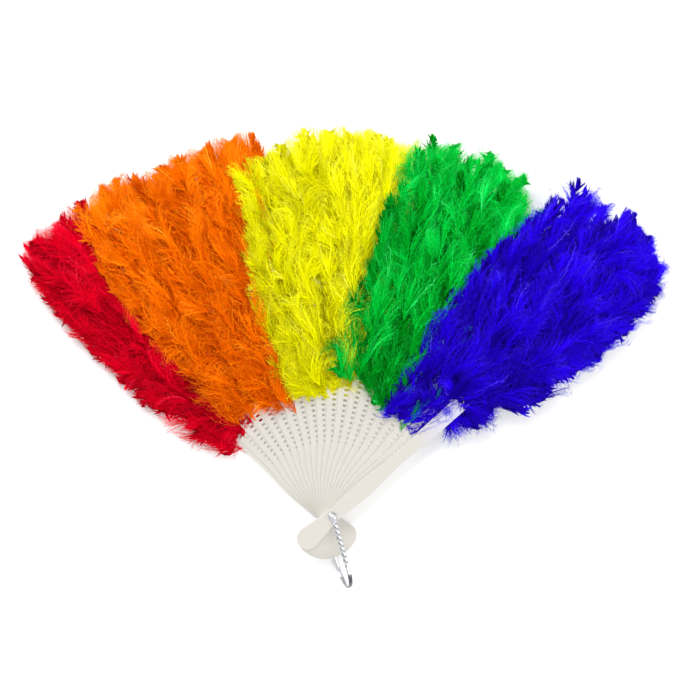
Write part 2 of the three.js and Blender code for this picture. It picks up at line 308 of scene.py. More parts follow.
@dataclass(frozen=True)
class MilkyPlastic:
    """Milky translucent plastic, with painted coloured light from the down that lies over it, painted light on
    its sides and a painted glow.
    """

    name: str
    # Painted coloured light that the down bounces onto the plastic, fading in away from the pin
    painted_bounce: Colour
    painted_bounce_depth: float
    painted_bounce_from: float = 76 * MM  # away from the pin
    painted_bounce_to: float = 116 * MM
    body: Colour = srgb(158, 155, 149)
    cloud: Colour = srgb(160, 154, 147)
    cloud_depth: float = 0.12
    wall_painted_light: Colour = srgb(176, 173, 167)  # painted light: lighter on a stick's sides and in its slots, to lift the shade there
    wall_until: float = 0.9  # how far up a side may face
    wall_full: float = 0.2
    painted_glow: float = 0.7  # painted glow: emission that stands in for light through the milky plastic and softens its shading
    flow_scale: float = 60.0
    flow_detail: float = 3.0
    grain_scale: float = 900.0
    grain_relief: float = 0.4  # as a share of the flow's
    relief: float = 0.05 * MM
    smoothest: float = 0.3
    roughened: float = 0.14

    def build(self) -> bpy.types.Material:
        """Builds the material.

        Returns:
            The material.
        """
        nodes = Nodes(self.name)
        coordinates = nodes.add("ShaderNodeTexCoord")
        place = coordinates.outputs["Object"]
        plan = nodes.add("ShaderNodeMapping", {"vector_type": "POINT"}, {"Vector": place, "Scale": (1, 1, 0)})
        length = nodes.add("ShaderNodeVectorMath", {"operation": "LENGTH"}, {0: plan.outputs[0]})
        away = nodes.value(length, "Value")
        flow = nodes.noise(place, self.flow_scale, self.flow_detail)
        grain = nodes.noise(place, self.grain_scale)
        facing = nodes.add("ShaderNodeSeparateXYZ", None, {0: coordinates.outputs["Normal"]})
        wall_painted_light = 1 - abs(nodes.value(facing, "Z")).ramp(self.wall_full, self.wall_until)
        with_painted_bounce = nodes.mix(away.ramp(self.painted_bounce_from, self.painted_bounce_to) * self.painted_bounce_depth, self.body, self.painted_bounce)
        clouded = nodes.mix(flow * self.cloud_depth, with_painted_bounce, self.cloud)
        shade = nodes.mix(wall_painted_light, clouded, self.wall_painted_light)
        nodes.fill(nodes.shader, {
            "Base Color": shade,
            "Emission Color": shade,
            "Emission Strength": self.painted_glow,
            "Roughness": self.smoothest + grain * self.roughened,
            "Subsurface Weight": 0.25,
            "Subsurface Radius": (1.0, 0.95, 0.9),
            "Subsurface Scale": 2.0 * MM,
            "Specular IOR Level": 0.4,
        })
        nodes.bump(grain * self.grain_relief + flow, self.relief)
        return nodes.material


@dataclass(frozen=True)
class Chrome:
    """Bright plating with fine rub marks."""

    name: str
    colour: Colour = srgb(214, 216, 220)
    worn: Colour = srgb(176, 176, 180)
    worn_from: float = 0.4  # height of the rub marks
    worn_to: float = 0.75
    rub_scale: float = 700.0
    rub_detail: float = 4.0
    relief: float = 0.02 * MM
    smoothest: float = 0.08
    roughened: float = 0.14

    def build(self) -> bpy.types.Material:
        """Builds the material.

        Returns:
            The material.
        """
        nodes = Nodes(self.name)
        place = nodes.add("ShaderNodeTexCoord").outputs["Object"]
        rubs = nodes.noise(place, self.rub_scale, self.rub_detail)
        nodes.fill(nodes.shader, {
            "Base Color": nodes.mix(rubs.ramp(self.worn_from, self.worn_to), self.colour, self.worn),
            "Metallic": 1.0,
            "Roughness": self.smoothest + rubs * self.roughened,
        })
        nodes.bump(rubs, self.relief)
        return nodes.material


@dataclass(frozen=True)
class TwistedChrome(Chrome):
    """Bright plating whose piece has a map with painted shade along U: dark in the flutes' grooves and on the
    front of the bend.
    """

    # Painted shade in the flutes' grooves and painted dark reflection on the front of the bend
    groove: Colour = srgb(104, 104, 108)
    crest: float = 0.6  # tone at which the painted shade ends and the plating is bright again

    def build(self) -> bpy.types.Material:
        """Builds the material.

        Returns:
            The material.
        """
        nodes = Nodes.of(super().build())
        uv = nodes.add("ShaderNodeUVMap", {"uv_map": PIECE_MAP})
        split = nodes.add("ShaderNodeSeparateXYZ", None, {0: uv.outputs[0]})
        plating = nodes.shader.inputs["Base Color"].links[0].from_socket
        out_of_painted_shade = nodes.value(split, "X").ramp(0.0, self.crest)
        nodes.fill(nodes.shader, {"Base Color": nodes.mix(out_of_painted_shade, self.groove, plating)})
        return nodes.material


@dataclass(frozen=True)
class DyedDown:
    """Dyed down, with painted shade at its barbs' roots, painted light at their tips and a painted glow. The
    piece's map holds a barb's tone along U, which carries painted shade and light as well as the dye's own
    variation, and the way from its root to its tip along V.
    """

    name: str
    # The five colours run from painted shade in the hollows, through the dye, to painted light on the highest
    # locks and the tips
    painted_hollow_shade: Colour
    deep: Colour
    full: Colour
    bright: Colour
    tip: Colour
    tones: tuple[float, ...] = (0.05, 0.3, 0.55, 0.85, 0.97)  # of the five colours
    # Painted shade at the barbs' roots, where the down covers them, and painted light at their tips
    root_share: float = 0.5
    root_until: float = 0.35  # the way along a barb
    tip_share: float = 0.35
    tip_from: float = 0.45
    ripple_scale: float = 9.0
    ripple_distortion: float = 3.0
    relief: float = 0.05 * MM
    relief_share: float = 0.4
    smoothest: float = 0.75
    roughened: float = 0.2
    painted_glow: float = 0.07  # painted glow: emission that stands in for light through the thin strands

    def build(self) -> bpy.types.Material:
        """Builds the material.

        Returns:
            The material.
        """
        nodes = Nodes(self.name)
        uv = nodes.add("ShaderNodeUVMap", {"uv_map": PIECE_MAP})
        split = nodes.add("ShaderNodeSeparateXYZ", None, {0: uv.outputs[0]})
        tone, along = nodes.value(split, "X"), nodes.value(split, "Y")
        stops = list(zip(self.tones, (self.painted_hollow_shade, self.deep, self.full, self.bright, self.tip)))
        dye = nodes.add("ShaderNodeValToRGB", {"stops": stops}, {"Fac": tone})
        painted_root_shade = (1 - along.ramp(0.0, self.root_until)) * self.root_share
        painted_tip_light = along.ramp(self.tip_from, 1.0) * tone * self.tip_share
        shade = nodes.mix(painted_tip_light, nodes.mix(painted_root_shade, dye.outputs["Color"], self.deep), self.tip)
        ripple = nodes.bands(uv.outputs[0], "Y", self.ripple_scale, self.ripple_distortion)
        nodes.fill(nodes.shader, {
            "Base Color": shade,
            "Roughness": self.smoothest + ripple * self.roughened,
            "Specular IOR Level": 0.02,
            "Emission Color": shade,
            "Emission Strength": self.painted_glow,
        })
        nodes.bump(ripple, self.relief, self.relief_share)
        return nodes.material


@dataclass(frozen=True)
class Satin:
    """White satin ribbon, woven fine along and across."""

    name: str
    colour: Colour = srgb(238, 234, 226)
    thread: Colour = srgb(205, 199, 188)
    threads: float = 2200.0
    relief: float = 0.03 * MM
    smoothest: float = 0.3
    roughened: float = 0.2

    def build(self) -> bpy.types.Material:
        """Builds the material.

        Returns:
            The material.
        """
        nodes = Nodes(self.name)
        place = nodes.add("ShaderNodeTexCoord").outputs["Object"]
        weft, warp = (nodes.bands(place, axis, self.threads) for axis in "XY")
        weave = weft * warp
        nodes.fill(nodes.shader, {
            "Base Color": nodes.mix(weave, self.thread, self.colour),
            "Roughness": self.smoothest + weft * self.roughened,
        })
        nodes.bump(weave, self.relief)
        return nodes.material


class Dye(Enum):
    """The dyes of the five groups, from the rear guard on, as the material slots name them."""

    RED = "red"
    ORANGE = "orange"
    YELLOW = "yellow"
    GREEN = "green"
    BLUE = "blue"


@dataclass(frozen=True)
class Group:
    """How one dyed group looks and lies."""

    dye: Dye
    last_stick: int
    down: DyedDown
    painted_bounce: Colour  # painted coloured light that its down bounces onto the sticks
    painted_bounce_depth: float
    sweep: float = 8 * MM  # of the tip of its first plume, to the right
    lap: float = 0.0  # of the root of its first plume, to the left
    radial: float = 0.2  # how much the tone rises from the root to the tip


# How far the down of each plume reaches, from the rear guard to the front guard, as a share of its solid
REACH_SHARES = (
    1.0, 0.95, 0.97, 0.955, 0.91, 0.96, 0.97, 0.99, 0.94, 0.97,
    1.0, 0.99, 0.98, 1.01, 0.96, 1.03, 1.0, 1.02, 1.045, 1.025,
)

# How far out of its root the down of each plume starts, in the same order, in millimetres
HEMS = (-3, -1, 1, 9, 8, 4, 2, 3, 1, 1, 5, 8, 14, 12, 9, 0, 3, -1, 20, 16)

# Waves in a plume's locks, in radians along it and across half of it: two in their tone, which paint shade and
# light over the clumps, one in their heading
LOCK_WAVES = ((11, 2.2), (17, -3), (9, 1.5))

GROUPS = (
    Group(
        Dye.RED, 2,
        DyedDown(
            "dyed_down_red",
            srgb(98, 0, 12), srgb(174, 0, 22), srgb(220, 0, 34), srgb(240, 0, 46), srgb(246, 40, 74),
        ),
        srgb(206, 150, 164), 0.4,
    ),
    Group(
        Dye.ORANGE, 7,
        DyedDown(
            "dyed_down_orange",
            srgb(166, 54, 0), srgb(216, 92, 0), srgb(242, 120, 0), srgb(252, 144, 8), srgb(255, 184, 50),
        ),
        srgb(206, 172, 158), 0.3,
    ),
    Group(
        Dye.YELLOW, 12,
        DyedDown(
            "dyed_down_yellow",
            srgb(154, 148, 0), srgb(208, 204, 0), srgb(240, 238, 0), srgb(252, 250, 8), srgb(255, 255, 110),
        ),
        srgb(190, 190, 140), 0.35, radial=0.26,
    ),
    Group(
        Dye.GREEN, 16,
        DyedDown(
            "dyed_down_green",
            srgb(0, 84, 8), srgb(0, 148, 24), srgb(0, 200, 58), srgb(0, 230, 88), srgb(70, 240, 128),
        ),
        srgb(160, 186, 156), 0.35, radial=0.34, lap=14 * MM,
    ),
    Group(
        Dye.BLUE, 19,
        DyedDown(
            "dyed_down_blue",
            srgb(16, 0, 100), srgb(28, 0, 164), srgb(38, 0, 224), srgb(52, 0, 252), srgb(92, 70, 255),
        ),
        srgb(156, 156, 200), 0.4, radial=0.24, sweep=14 * MM, lap=6 * MM,
    ),
)


@dataclass
class Stick:
    """One stick with the plume on it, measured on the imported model."""

    name: str
    number: int
    group: Group
    uppermost: bool = False
    outward: np.ndarray = field(init=False)
    plume_outward: np.ndarray = field(init=False)
    plume_across: np.ndarray = field(init=False)
    plume_root: np.ndarray = field(init=False)
    top: float = field(init=False)
    bottom: float = field(init=False)
    root: float = field(init=False)
    reach: float = field(init=False)
    half_width: float = field(init=False)

    def __post_init__(self) -> None:
        """Reads the stick's direction and its plume's place, lean and extent from the frame."""
        stick = points_of(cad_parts[self.name].data)
        plume = points_of(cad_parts[f"plume_{self.name}"].data)
        self.top = float(stick[:, 2].max())
        self.bottom = float(stick[:, 2].min())
        tip = stick[np.argsort((stick[:, :2] ** 2).sum(1))[-4:], :2].mean(0)  # of its four outermost corners
        self.outward = tip / np.linalg.norm(tip)
        along = plume[:, :2] @ self.outward
        self.root = float(along.min())
        self.plume_root = self.root * self.outward
        outer = plume[along > (along.min() + along.max()) / 2, :2] - self.plume_root
        middle = outer.mean(0)
        self.plume_outward = middle / np.linalg.norm(middle)
        self.plume_across = np.array([self.plume_outward[1], -self.plume_outward[0]])
        reach = self.root + float(((plume[:, :2] - self.plume_root) @ self.plume_outward).max())
        self.reach = reach * REACH_SHARES[self.number]
        self.half_width = float(np.percentile(np.abs(outer @ self.plume_across), 95))


def points_of(mesh: bpy.types.Mesh) -> np.ndarray:
    """Reads a mesh's points.

    Args:
        mesh: the mesh.

    Returns:
        One row of x, y, z for each vertex.
    """
    points = np.empty(len(mesh.vertices) * 3, np.float32)
    mesh.vertices.foreach_get("co", points)
    return points.reshape(-1, 3).astype(float)


def new_piece(name: str, mesh: bpy.types.Mesh, finish: bpy.types.Material) -> bpy.types.Object:
    """Makes a scene object of a mesh.

    Args:
        name: the piece's name.
        mesh: its mesh.
        finish: its material.

    Returns:
        The object, at the origin.
    """
    mesh.materials.clear()
    mesh.materials.append(finish)
    piece = bpy.data.objects.new(name, mesh)
    bpy.context.scene.collection.objects.link(piece)
    return piece


def mesh_of(bm: bmesh.types.BMesh, name: str, smooth: bool = True) -> bpy.types.Mesh:
    """Turns a bmesh into a mesh and frees it.

    Args:
        bm: the bmesh.
        name: the mesh's name.
        smooth: shades the faces smooth.

    Returns:
        The mesh.
    """
    for face in bm.faces:
        face.smooth = smooth
    mesh = bpy.data.meshes.new(name)
    bm.to_mesh(mesh)
    bm.free()
    return mesh


@dataclass
class Lie:
    """Where one tuft lies on its plume, and how it is combed. Lengths run in metres and angles in radians."""

    along: float
    aside: float
    layer: float  # its height
    heading: float
    length: float
    angle: float  # between its barbs and its shaft
    barb_length: float
    tone: float
    bend: float = 0.0
    least_bend: float = 0.01  # which keeps its radius finite
    roll: float = 0.0
    climb: float = 0.1  # for each metre of shaft
    flatness: float = 0.5  # its height as a share of its width

    def place(self, points: np.ndarray) -> np.ndarray:
        """Bends, rolls and lays a tuft.

        Args:
            points: the tuft, with its shaft along +Y.

        Returns:
            The points in the plume's frame: x across it, y outwards and z up.
        """
        bend = self.bend if abs(self.bend) > self.least_bend else self.least_bend
        angle = bend * points[:, 1] / self.length
        radius = self.length / bend
        x = radius * (1 - np.cos(angle)) + points[:, 0] * np.cos(angle)
        y = radius * np.sin(angle) - points[:, 0] * np.sin(angle)
        lean, dip = math.cos(self.roll), math.sin(self.roll)
        x, z = x * lean - points[:, 2] * dip, x * dip + points[:, 2] * lean
        ahead, aside = math.cos(self.heading), math.sin(self.heading)
        return np.stack([
            self.aside + x * ahead + y * aside,
            self.along - x * aside + y * ahead,
            self.layer + z + self.climb * np.clip(y, 0, None),
        ], -1)


@dataclass
class Down:
    """The fine strands of one plume: a barb with its barbules, repeated into tufts."""

    seed: int
    barb_length: float = 24 * MM
    barbs: int = 34
    barb_steps: int = 4
    barb_width: float = 0.46 * MM
    barb_taper: float = 1.6
    barbules: int = 7
    barbules_from: float = 0.14  # the way along the barb
    barbules_run: float = 0.76
    barbule_length: float = 2.6 * MM
    barbule_root: float = 1.1  # the longest barbule, as a share of that length
    barbule_drop: float = 0.6  # what the last ones have less
    barbule_width: float = 0.4 * MM
    barbule_lead: float = 2.4 * MM  # how far a barbule's tip lies ahead of its root
    barbule_rise: float = 0.35  # how far it stands up or down, as a share of its reach
    barbule_turn: float = 2.4  # radians from one barbule to the next
    shaft_share: float = 0.86  # of a tuft's length that bears barbs
    shaft_wander: float = 0.7  # radians by which barbs stand up from both sides of the shaft
    root_lean: float = 1.3  # of the first barbs, as a share of the tuft's angle
    lean_drop: float = 0.85  # what the last ones have less
    lean_spread: float = 0.3
    curl: Spread = (0.3, 0.7)  # what a barb keeps of its lean up to its tip
    least_turn: float = 0.02  # which keeps its radius finite
    reach: Spread = (0.7, 0.5)  # of a barb, as a share of the lie's barb length
    swell: float = 0.66  # of the barbs at both ends of a tuft
    swell_more: float = 0.44  # in its middle
    swell_power: float = 0.8
    fluff: Spread = (0.55, 0.9)  # how far the barbules spread
    roll_spread: float = 1.2  # radians round the barb
    wave: float = 0.06  # height of a barb's waves, as a share of its reach
    waves: Spread = (3.0, 3.0)  # radians of wave along it
    wave_off: float = 0.7  # share of the height of that wave up and down
    lift: Spread = (0.04, 0.09)  # of a barb's tip, as a share of its reach
    glint: float = 0.32  # what single bright barbs have more in tone
    glint_odds: float = 0.08
    tone_spread: float = 0.08
    tone_rise: float = 0.1  # from a tuft's root to its tip: painted shade at the root, where the later tufts cover it
    tone_across: float = 0.012  # from a barb to its barbules' tips

    def __post_init__(self) -> None:
        """Seeds the draws and makes the meshes that are repeated."""
        self.draw = np.random.default_rng(self.seed)
        self.barb = self.barb_mesh()
        self.tuft = self.repeat(self.barb, self.barbs, "tuft")
        self.unit = points_of(self.barb)

    def map_of(self, tones: np.ndarray) -> np.ndarray:
        """Spreads a tuft's tones a little across each barb.

        Args:
            tones: tone and way along for each point.

        Returns:
            The piece's map, 0 to 1 both ways.
        """
        spread = np.tile(self.unit[:, 0], len(tones) // len(self.unit)) / self.barbule_length
        tone = np.clip(tones[:, 0] + self.tone_across * spread, *MAP_ENDS)
        return np.stack([tone, np.clip(tones[:, 1], 0.0, 1.0)], -1)

    def barb_mesh(self) -> bpy.types.Mesh:
        """Makes one barb: x across in metres, y from 0 at the root to 1 at the tip, z up in metres.

        Returns:
            The mesh.
        """
        bm = bmesh.new()
        bmesh.ops.create_grid(bm, x_segments=1, y_segments=self.barb_steps, size=0.5)
        for vert in bm.verts:
            vert.co.y += 0.5
            vert.co.x *= self.barb_width * (1 - vert.co.y ** self.barb_taper)
        bmesh.ops.remove_doubles(bm, verts=bm.verts[:], dist=WELD)
        for number in range(self.barbules):
            side = 1 if number % 2 else -1
            at = self.barbules_from + self.barbules_run * number / self.barbules
            root = bm.verts.new((0, at, 0))
            foot = bm.verts.new((0, at + self.barbule_width / self.barb_length, 0))
            reach = self.barbule_length * (self.barbule_root - self.barbule_drop * at)
            ahead = at + self.barbule_lead / self.barb_length
            rise = reach * self.barbule_rise * math.cos(self.barbule_turn * number)
            tip = bm.verts.new((side * reach, ahead, rise))
            bm.faces.new((root, foot, tip) if side < 0 else (root, tip, foot))
        return mesh_of(bm, "barb")

    @staticmethod
    def repeat(mesh: bpy.types.Mesh, count: int, name: str) -> bpy.types.Mesh:
        """Joins copies of a mesh.

        Args:
            mesh: what is copied.
            count: how many copies.
            name: the new mesh's name.

        Returns:
            The joined mesh.
        """
        bm = bmesh.new()
        for _ in range(count):
            bm.from_mesh(mesh)
        return mesh_of(bm, name)

    def around(self, middle: float | np.ndarray, spread: float) -> np.ndarray:
        """Draws a value for each barb round a middle, in a column."""
        return middle + spread * self.draw.standard_normal((self.barbs, 1))

    def between(self, least: float, more: float) -> np.ndarray:
        """Draws a value for each barb evenly from the least on, in a column."""
        return least + more * self.draw.random((self.barbs, 1))

    def tuft_points(self, lie: Lie) -> tuple[np.ndarray, np.ndarray]:
        """Spreads the barbs of one tuft round a shaft along +Y.

        Args:
            lie: how the tuft lies.

        Returns:
            The points, and each point's tone and way along its barb.
        """
        up = (np.arange(self.barbs)[:, None] + self.between(0, 1)) / self.barbs
        left_or_right = np.where(self.between(0, 1) < 0.5, 0.5, -0.5) * math.pi
        round_shaft = self.around(left_or_right, self.shaft_wander)
        start = lie.angle * (self.root_lean - self.lean_drop * up) * self.around(1, self.lean_spread)
        finish = start * self.around(*self.curl)
        swell = self.swell + self.swell_more * np.sin(math.pi * np.clip(up, 0, 1) ** self.swell_power)
        reach = lie.barb_length * swell * self.between(*self.reach)
        x, y, z = (self.unit[None, :, axis] for axis in range(3))
        fluff = self.between(*self.fluff)
        roll = self.around(0, self.roll_spread)
        turn = finish - start
        turn = np.where(np.abs(turn) < self.least_turn, self.least_turn, turn)
        heading = start + turn * y
        away = reach / turn * (np.cos(start) - np.cos(heading))
        ahead = reach / turn * (np.sin(heading) - np.sin(start))
        phase = self.between(0, 2 * math.pi)
        wave = self.wave * reach * y * np.sin(phase + self.between(*self.waves) * y)
        out = fluff * (x * np.cos(roll) - z * np.sin(roll)) + wave
        off = fluff * (x * np.sin(roll) + z * np.cos(roll)) - self.wave_off * wave
        side, high = np.sin(round_shaft), np.cos(round_shaft)
        aside = away + out * np.cos(heading)
        lift = reach * self.around(*self.lift) * y
        points = np.stack([
            aside * side + off * high,
            up * lie.length * self.shaft_share + ahead - out * np.sin(heading),
            lie.flatness * aside * high - off * side + lift,
        ], -1)
        glint = self.glint * (self.between(0, 1) < self.glint_odds)
        tone = self.around(lie.tone, self.tone_spread) + glint + self.tone_rise * (up - 0.5)
        tones = np.repeat(tone, len(self.unit))
        return points.reshape(-1, 3), np.stack([tones, np.tile(self.unit[:, 1], self.barbs)], -1)


def eased(values: np.ndarray, limit: float, soft: float, below: bool = False) -> np.ndarray:
    """Bends values gently away from a limit.

    Args:
        values: the values.
        limit: what they stay above.
        soft: how near to it the bend begins.
        below: keeps them below it instead.

    Returns:
        The values, bent.
    """
    sign = -1 if below else 1
    return limit + sign * soft * np.log1p(np.exp(sign * (values - limit) / soft))


def capped(values: np.ndarray, most: float) -> np.ndarray:
    """Lets values from 0 up come near to a most."""
    return most * (1 - np.exp(-values / most))


@dataclass
class Plume:
    """The down on one stick, as one piece: matted underdown, silky locks combed outwards and a fringe.

    Where a tuft is laid, a number that multiplies a draw is how far that value strays from tuft to tuft.
    """

    stick: Stick
    edge: np.ndarray  # direction of the rear guard, where the fan ends
    swept: bool = False
    tucked: bool = False
    edge_room: float = 31 * MM  # how far the down stands out past the rear guard's axis
    edge_plumes: int = 4  # how many plumes make up that end
    edge_from: float = 0.7  # share of the length where that end begins to draw in
    edge_run: float = 0.3
    edge_draw: float = 0.45  # how far, as a share of its room
    edge_margin: float = 3 * MM  # what the strands stand out past the outline
    row_pitch: float = 11 * MM
    lane_pitch: float = 9 * MM
    lock_start: float = 2 * MM  # out of the hem
    lock_tail: float = 28 * MM  # left free by the last row, for the locks' own length
    lock_length: float = 14 * MM
    lock_tone: float = 0.42
    lock_part: float = 36  # degrees by which the outermost locks turn aside at the root
    lock_comb: float = 14  # degrees less at the tip
    root_half_width: float = 17 * MM
    belly_share: float = 0.62  # share of the length where the plume is widest
    belly: float = 1.14  # of the uppermost plume, to its free side
    tip_share: float = 0.72  # how far the outline has drawn in at the tip
    shingle: float = 0.16  # how much it sinks for each metre to the right
    press: float = 0.5  # how much the next plume presses the covered side down
    press_tucked: float = 0.9
    loft: float = 5 * MM  # the depth in which the locks lie
    matt_start: float = 4 * MM
    matt_pitch: float = 13 * MM
    matt_layers: int = 1
    matt_length: float = 20 * MM
    matt_depth: float = 1.2 * MM
    matt_inset: float = 8 * MM
    fringe_tufts: int = 26
    fringe_start: float = 9 * MM
    fringe_length: float = 7 * MM
    fringe_part: float = 50  # degrees aside at the root
    fringe_comb: float = 26  # degrees less at the tip
    crown: float = 0.38  # share of the fringe that goes round the tip
    crown_from: float = 0.92  # share of the length where it begins
    crown_width: float = 0.97  # share of the length whose width it has
    crown_drop: float = 0.07
    crown_part: float = 24
    ruff_tufts: int = 7
    ruff_start: float = 6 * MM
    ruff_half_width: float = 7 * MM
    ruff_part: float = 1.7  # radians aside
    tuck_tufts: int = 14
    tuck_start: float = 33 * MM
    tuck_run: float = 17 * MM
    tuck_part: float = 112  # degrees aside of the first lock
    tuck_comb: float = 40  # degrees less at the last
    notch_at: float = 148 * MM  # from the pin, where the free side draws in beyond the tuft under the guard
    notch_width: float = 10 * MM
    notch_depth: float = 0.4
    notch_tucked: float = 0.3  # share of it on the plume under the uppermost
    ripple_coarse: float = 4.6 * MM
    ripple_fine: float = 1.9 * MM
    ripple_share: float = 0.65  # of the coarse one
    ripple_phase: float = 2.4  # radians from one plume to the next
    ripple_shift: float = 0.05  # metres between the left side's and the right side's
    length_ripple: float = 0.02  # depth of the notches between locks, as a share
    width_ripple: float = 0.12
    length_body: float = 98.5  # percentile of the strands that meets the plume's length
    width_body: float = 97.5
    lap_lift: float = 0.25  # how much a lap is raised for each metre that it reaches over
    headroom: float = 1.9 * MM  # of the down over its own stick, where the next stick comes to lie
    stick_room: float = 8 * MM
    fold: float = 0.12
    seat: float = 0.5 * MM  # above the stick
    floor: float = 0.4 * MM
    ceiling: float = 44 * MM
    soft: float = 2 * MM  # how gently strands bend away from the floor and other ends
    end_room: float = 21 * MM  # how far strands stand out past the solids' right end
    overshoot: float = 5 * MM  # of the longest strands, past the plume's solid
    upper_lanes: float = 0.75  # of the uppermost plume, as a share of the others'
    upper_rows: float = 0.9
    upper_layers: int = 3
    upper_tip: float = 0.8

    def __post_init__(self) -> None:
        """Makes the uppermost plume denser and its tip broader, because nothing lies over it."""
        if self.stick.uppermost:
            self.lane_pitch *= self.upper_lanes
            self.row_pitch *= self.upper_rows
            self.matt_pitch *= self.upper_lanes
            self.matt_layers = self.upper_layers
            self.tip_share *= self.upper_tip

    @property
    def length(self) -> float:
        """From the plume's root to its tip."""
        return self.stick.reach - self.stick.root

    @property
    def hem(self) -> float:
        """How far out of the root the down starts."""
        return HEMS[self.stick.number] * MM

    @property
    def layer(self) -> float:
        """The height at which the down lies on its stick."""
        return self.stick.top + self.seat

    def half_width(self, share: float) -> float:
        """Gives half the plume's width.

        Args:
            share: the place along the plume, as a share of its length.

        Returns:
            Half the width there.
        """
        full = self.stick.half_width
        if share < self.belly_share:
            rise = math.sin(max(0.0, share) / self.belly_share * math.pi / 2)
            return self.root_half_width + (full - self.root_half_width) * rise
        past = min(1.0, (share - self.belly_share) / (1 - self.belly_share))
        return full * math.sqrt(1 - self.tip_share * past ** 2)

    def ruff(self, draw: np.random.Generator) -> list[Lie]:
        """Lays the thin wisps that spread from the root over the sticks.

        Args:
            draw: the plume's random draws.

        Returns:
            The tufts.
        """
        lies = []
        for number in range(self.ruff_tufts):
            side = 2 * number / (self.ruff_tufts - 1) - 1
            lies.append(Lie(
                along=self.hem + self.ruff_start + 2.5 * MM * draw.standard_normal(),
                aside=side * self.ruff_half_width,
                layer=self.layer + 0.5 * MM,
                heading=side * self.ruff_part + 0.35 * draw.standard_normal(),
                length=7 * MM,
                angle=math.radians(40),
                barb_length=10 * MM,
                tone=0.32 + 0.08 * draw.standard_normal(),
                bend=-0.6 * side,
                climb=0.05,
            ))
        return lies

    def tuck(self, draw: np.random.Generator) -> list[Lie]:
        """Lays the locks that stand out below the front guard.

        Args:
            draw: the plume's random draws.

        Returns:
            The locks.
        """
        lies = []
        for number in range(self.tuck_tufts):
            share = number / (self.tuck_tufts - 1)
            lies.append(Lie(
                along=self.tuck_start + self.tuck_run * share + 2 * MM * draw.standard_normal(),
                aside=(8 + draw.standard_normal()) * MM,
                layer=self.layer - 4 * MM,
                heading=math.radians(self.tuck_part - self.tuck_comb * share) + 0.12 * draw.standard_normal(),
                length=14 * MM,
                angle=math.radians(26),
                barb_length=(17 + 8 * share) * MM,
                # painted shade: darker under the front guard
                tone=0.34 + 0.08 * draw.standard_normal(),
                bend=0.3 * draw.standard_normal(),
                climb=-0.1,
                flatness=0.3,
            ))
        return lies

    def matt(self, draw: np.random.Generator) -> list[Lie]:
        """Lays the matted underdown, whose dark tone is painted shade between the locks.

        Args:
            draw: the plume's random draws.

        Returns:
            The tufts.
        """
        lies = []
        start = self.hem + self.matt_start
        rows = math.ceil((self.length - start - self.matt_length) / self.matt_pitch)
        for row in [*range(rows + 1)] * self.matt_layers:
            along = start + (self.length - start - 1.2 * self.matt_length) * row / rows
            width = self.half_width((along + 0.6 * self.matt_length) / self.length) - self.matt_inset
            lanes = max(2, round(2 * width / self.matt_pitch) + 1)
            for lane in range(lanes):
                side = 2 * lane / (lanes - 1) - 1
                lies.append(Lie(
                    along=along + 2 * MM * draw.standard_normal(),
                    aside=side * width + 2 * MM * draw.standard_normal(),
                    layer=self.layer - self.matt_depth * abs(side),
                    heading=0.3 * side + 0.2 * draw.standard_normal(),
                    length=self.matt_length,
                    angle=math.radians(55),
                    barb_length=12 * MM,
                    # painted shade: the underdown is dark
                    tone=0.16 + 0.06 * draw.standard_normal() + 0.08 * along / self.length,
                    climb=0.02,
                    flatness=0.15,
                ))
        return lies

    def combed(self, draw: np.random.Generator) -> list[Lie]:
        """Lays the locks that are combed outwards, row by row, with slow waves in their heading, painted shade
        and light in slow waves over their tone, and higher locks painted lighter.

        Args:
            draw: the plume's random draws.

        Returns:
            The locks.
        """
        lies = []
        start = self.hem + self.lock_start
        run = self.length - start - self.lock_tail
        rows = round(run / self.row_pitch)
        phases = draw.random(4) * 2 * math.pi
        for row in range(rows + 1):
            along = start + run * row / rows
            share = along / self.length
            width = self.half_width((along + 0.5 * self.lock_tail) / self.length)
            lanes = round(1.7 * width / self.lane_pitch)
            for lane in range(lanes):
                side = (2 * lane + 1) / lanes - 1 + 0.5 / lanes * (1 if row % 2 else -1)
                level = draw.random()
                tone = self.lock_tone + self.stick.group.radial * (share - 0.5)
                waves = [math.sin(p + a * share + b * side) for p, (a, b) in zip(phases, LOCK_WAVES)]
                painted_clump_shade = waves[0] * waves[1]
                turn = 0.3 * waves[2] + 0.16 * draw.standard_normal()
                lies.append(Lie(
                    along=along + 4 * MM * draw.standard_normal(),
                    aside=side * 0.84 * width + 2 * MM * draw.standard_normal(),
                    layer=self.layer + level * self.loft,
                    heading=side * math.radians(self.lock_part - self.lock_comb * share) + turn,
                    length=self.lock_length * (0.8 + 0.4 * draw.random()),
                    angle=math.radians(25),
                    barb_length=(24 + 5 * draw.random()) * MM,
                    # Painted light and shade: higher locks lighter, lower ones darker, and painted shade over
                    # the clumps
                    tone=tone + 0.2 * (level - 0.5) + 0.16 * painted_clump_shade + 0.05 * draw.standard_normal(),
                    bend=0.45 * draw.standard_normal() - 0.3 * side,
                    roll=0.25 * draw.standard_normal(),
                    climb=0.02 + 0.08 * draw.random(),
                ))
        return lies

